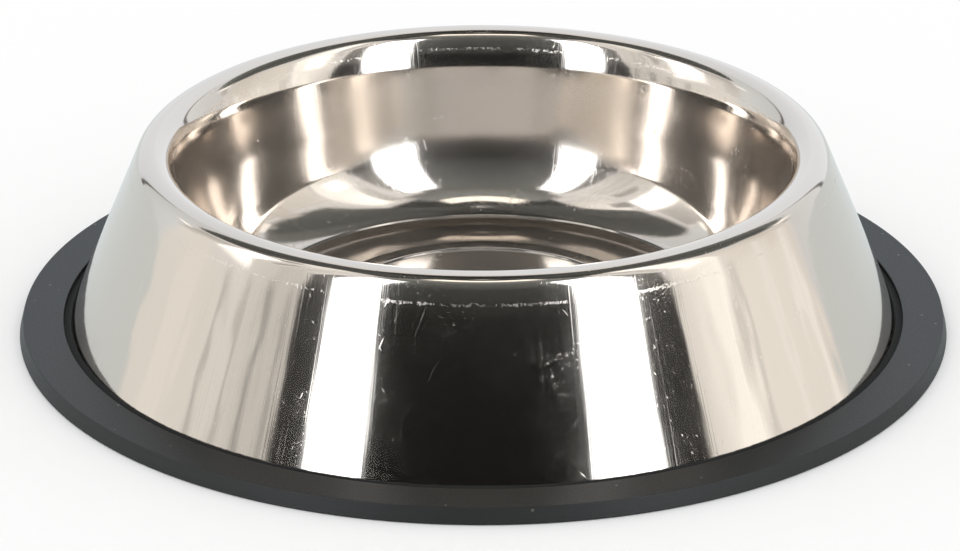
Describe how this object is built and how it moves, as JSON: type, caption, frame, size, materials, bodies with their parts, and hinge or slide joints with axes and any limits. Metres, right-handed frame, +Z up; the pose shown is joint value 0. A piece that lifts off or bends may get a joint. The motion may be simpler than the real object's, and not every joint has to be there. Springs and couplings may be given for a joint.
{
  "type": "dog bowl",
  "caption": "Low round steel pet bowl with a rolled rim and a wide leaning skirt that stands on a flat rubber ring.",
  "frame": {"origin": "on the floor under the middle of the bowl, in the plane of the ring's underside", "axes": "+Z up along the bowl's axis of revolution; +X and +Y level, and alike because the bowl is round"},
  "size_m": [0.2498, 0.2498, 0.0519],
  "materials": {
    "polished_steel": "mirror-polished stainless steel sheet with fine wiping scratches",
    "ring_rubber": "satin moulded rubber, dark grey"
  },
  "bodies": {
    "root": {"steel_bowl": "polished_steel", "rubber_ring": "ring_rubber"}
  },
  "joints": []
}
